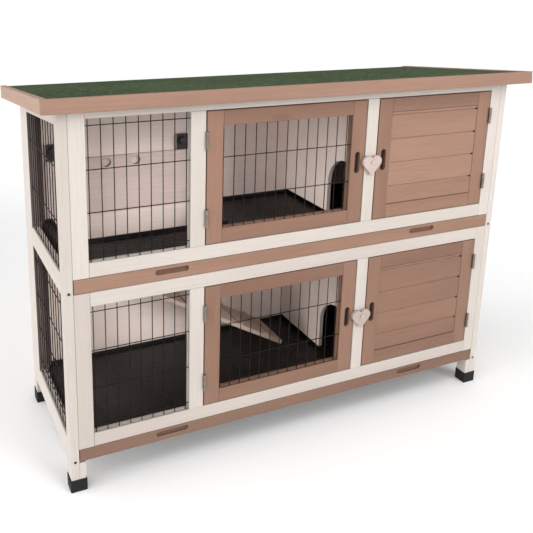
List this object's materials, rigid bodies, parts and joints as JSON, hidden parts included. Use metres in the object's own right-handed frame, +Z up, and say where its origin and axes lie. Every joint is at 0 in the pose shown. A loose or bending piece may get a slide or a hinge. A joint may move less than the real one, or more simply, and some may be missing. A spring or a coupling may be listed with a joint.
{
  "type": "rabbit hutch",
  "caption": "Raised wooden hutch on legs with a sloping felt roof, mesh and boarded doors, slide-out trays and an inner ramp.",
  "frame": {"origin": "middle of the bounding box's footprint, on the ground", "axes": "+X to the right end seen from the front, the doors face -Y, +Z up"},
  "size_m": [1.164, 0.4742, 0.8434],
  "materials": {
    "white_washed_wood": "thin white wash over softwood, grain showing faintly",
    "stained_wood": "taupe brown wood stain, matt",
    "fascia_wood": "light pinkish brown wood stain, matt",
    "galvanised_steel": "zinc plated, dull",
    "dark_wire": "dark brown-black coated wire",
    "roof_felt": "green mineral-surfaced bitumen felt",
    "black_plastic": "black moulded plastic, lightly ribbed",
    "foot_plastic": "near-black moulded plastic"
  },
  "bodies": {
    "hutch": {"left_front_post": "white_washed_wood", "left_rear_post": "white_washed_wood", "left_top_rail": "white_washed_wood", "left_middle_rail": "white_washed_wood", "left_bottom_rail": "white_washed_wood", "right_front_post": "white_washed_wood", "right_rear_post": "white_washed_wood", "leg_blocks": "white_washed_wood", "back_panels": "white_washed_wood", "tray_runners": "white_washed_wood", "upper_divider": "white_washed_wood", "lower_divider": "white_washed_wood", "right_upper_boards": "white_washed_wood", "right_lower_boards": "white_washed_wood", "left_upper_mesh": "dark_wire", "left_lower_mesh": "dark_wire", "upper_window_mesh": "dark_wire", "lower_window_mesh": "dark_wire", "upper_left_stile": "white_washed_wood", "upper_right_stile": "white_washed_wood", "upper_top_rail": "white_washed_wood", "upper_bottom_rail": "white_washed_wood", "upper_door_stile": "white_washed_wood", "upper_latch_stile": "white_washed_wood", "lower_left_stile": "white_washed_wood", "lower_right_stile": "white_washed_wood", "lower_top_rail": "white_washed_wood", "lower_bottom_rail": "white_washed_wood", "lower_door_stile": "white_washed_wood", "lower_latch_stile": "white_washed_wood", "foot_caps": "foot_plastic", "roof_deck": "fascia_wood", "roof_felt": "roof_felt", "roof_front_fascia": "fascia_wood", "roof_left_fascia": "fascia_wood", "roof_right_fascia": "fascia_wood", "frame_hinge_leaves": "galvanised_steel", "screws": "galvanised_steel"},
    "upper_mesh_door": {"upper_mesh_door_frame": "stained_wood", "upper_mesh_door_mesh": "dark_wire", "upper_mesh_door_hinges": "galvanised_steel"},
    "upper_plank_door": {"upper_plank_door_frame": "stained_wood", "upper_plank_door_boards": "stained_wood", "upper_plank_door_hinges": "galvanised_steel"},
    "upper_latch": {"upper_heart_latch": "white_washed_wood"},
    "upper_tray": {"upper_tray_front": "stained_wood", "upper_tray_floor": "black_plastic"},
    "lower_mesh_door": {"lower_mesh_door_frame": "stained_wood", "lower_mesh_door_mesh": "dark_wire", "lower_mesh_door_hinges": "galvanised_steel"},
    "lower_plank_door": {"lower_plank_door_frame": "stained_wood", "lower_plank_door_boards": "stained_wood", "lower_plank_door_hinges": "galvanised_steel"},
    "lower_latch": {"lower_heart_latch": "white_washed_wood"},
    "lower_tray": {"lower_tray_front": "stained_wood", "lower_tray_floor": "black_plastic"},
    "ramp": {"ramp": "white_washed_wood"},
    "hatch_cover": {"hatch_cover": "white_washed_wood"},
    "left_clip": {"left_cover_clip": "black_plastic"},
    "right_clip": {"right_cover_clip": "black_plastic"}
  },
  "joints": [
    {"name": "upper_mesh_door_hinge", "type": "hinge", "parent": "hutch", "child": "upper_mesh_door", "pos_m": [-0.24875, -0.199, 0.652], "axis": [0, 0, -1], "range_deg": [0, 120]},
    {"name": "upper_plank_door_hinge", "type": "hinge", "parent": "hutch", "child": "upper_plank_door", "pos_m": [0.49875, -0.199, 0.652], "axis": [0, 0, 1], "range_deg": [0, 120]},
    {"name": "upper_latch_turn", "type": "hinge", "parent": "hutch", "child": "upper_latch", "pos_m": [0.156, -0.195, 0.652], "axis": [0, 1, 0], "range_deg": [-90, 90]},
    {"name": "upper_tray_slide", "type": "slide", "parent": "hutch", "child": "upper_tray", "axis": [0, -1, 0], "range_m": [0, 0.32]},
    {"name": "lower_mesh_door_hinge", "type": "hinge", "parent": "hutch", "child": "lower_mesh_door", "pos_m": [-0.24875, -0.199, 0.272], "axis": [0, 0, -1], "range_deg": [0, 120]},
    {"name": "lower_plank_door_hinge", "type": "hinge", "parent": "hutch", "child": "lower_plank_door", "pos_m": [0.49875, -0.199, 0.272], "axis": [0, 0, 1], "range_deg": [0, 120]},
    {"name": "lower_latch_turn", "type": "hinge", "parent": "hutch", "child": "lower_latch", "pos_m": [0.156, -0.195, 0.272], "axis": [0, 1, 0], "range_deg": [-90, 90]},
    {"name": "lower_tray_slide", "type": "slide", "parent": "hutch", "child": "lower_tray", "axis": [0, -1, 0], "range_m": [0, 0.32]},
    {"name": "ramp_hinge", "type": "hinge", "parent": "hutch", "child": "ramp", "pos_m": [-0.499, 0.092, 0.432], "axis": [0, -1, 0], "range_deg": [0, 22]},
    {"name": "cover_slide", "type": "slide", "parent": "hutch", "child": "hatch_cover", "axis": [0, -1, 0], "range_m": [0, 0.25]},
    {"name": "left_clip_turn", "type": "hinge", "parent": "hutch", "child": "left_clip", "pos_m": [-0.482, 0.18, 0.646], "axis": [0, 1, 0], "range_deg": [-90, 90]},
    {"name": "right_clip_turn", "type": "hinge", "parent": "hutch", "child": "right_clip", "pos_m": [-0.154, 0.18, 0.646], "axis": [0, 1, 0], "range_deg": [-90, 90]}
  ]
}
